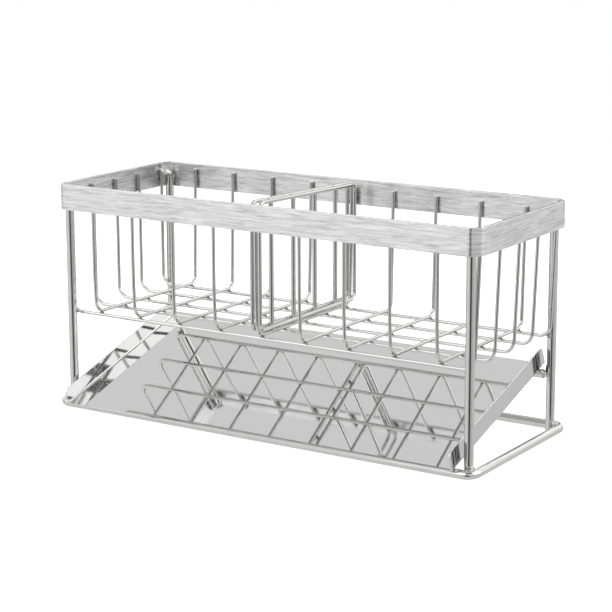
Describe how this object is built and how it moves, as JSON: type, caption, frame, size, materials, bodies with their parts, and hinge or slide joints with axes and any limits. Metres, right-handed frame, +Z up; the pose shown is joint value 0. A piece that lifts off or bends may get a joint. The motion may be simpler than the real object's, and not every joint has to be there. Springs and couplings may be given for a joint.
{
  "type": "countertop draining rack",
  "caption": "Wire basket in a brushed strip rim on rod legs, with a sloping drip tray below and a lift-out wire divider.",
  "frame": {"origin": "on the ground, in the middle of the rack's footprint with the drip tray in place", "axes": "+X along the rack's length to the right seen from the front, +Y to the back, +Z up"},
  "size_m": [0.2826, 0.1212, 0.1357],
  "materials": {
    "rim_strip": "stainless strip, brushed along its length",
    "frame_rod": "polished stainless rod",
    "basket_wire": "polished stainless wire with small weld marks",
    "tray_sheet": "mirror-polished stainless sheet",
    "divider_wire": "polished stainless wire"
  },
  "bodies": {
    "rack": {"top_band": "rim_strip", "base_ring": "frame_rod", "leg_front_left": "frame_rod", "leg_front_right": "frame_rod", "leg_rear_left": "frame_rod", "leg_rear_right": "frame_rod", "tray_support_rod": "frame_rod", "cross_wire_1": "basket_wire", "cross_wire_2": "basket_wire", "cross_wire_3": "basket_wire", "cross_wire_4": "basket_wire", "cross_wire_5": "basket_wire", "cross_wire_6": "basket_wire", "cross_wire_7": "basket_wire", "cross_wire_8": "basket_wire", "cross_wire_9": "basket_wire", "long_wire_1": "basket_wire", "long_wire_2": "basket_wire", "long_wire_3": "basket_wire", "long_wire_4": "basket_wire", "long_wire_5": "basket_wire"},
    "drip_tray": {"drip_tray": "tray_sheet"},
    "divider": {"divider_loop_left": "divider_wire", "divider_loop_right": "divider_wire", "divider_bar_1": "divider_wire", "divider_bar_2": "divider_wire", "divider_bar_3": "divider_wire", "divider_bar_4": "divider_wire"}
  },
  "joints": [
    {"name": "tray_pull", "type": "slide", "parent": "rack", "child": "drip_tray", "axis": [0, -1, 0], "range_m": [0, 0.112]},
    {"name": "divider_lift", "type": "slide", "parent": "rack", "child": "divider", "axis": [0, 0, 1], "range_m": [0, 0.076]}
  ]
}
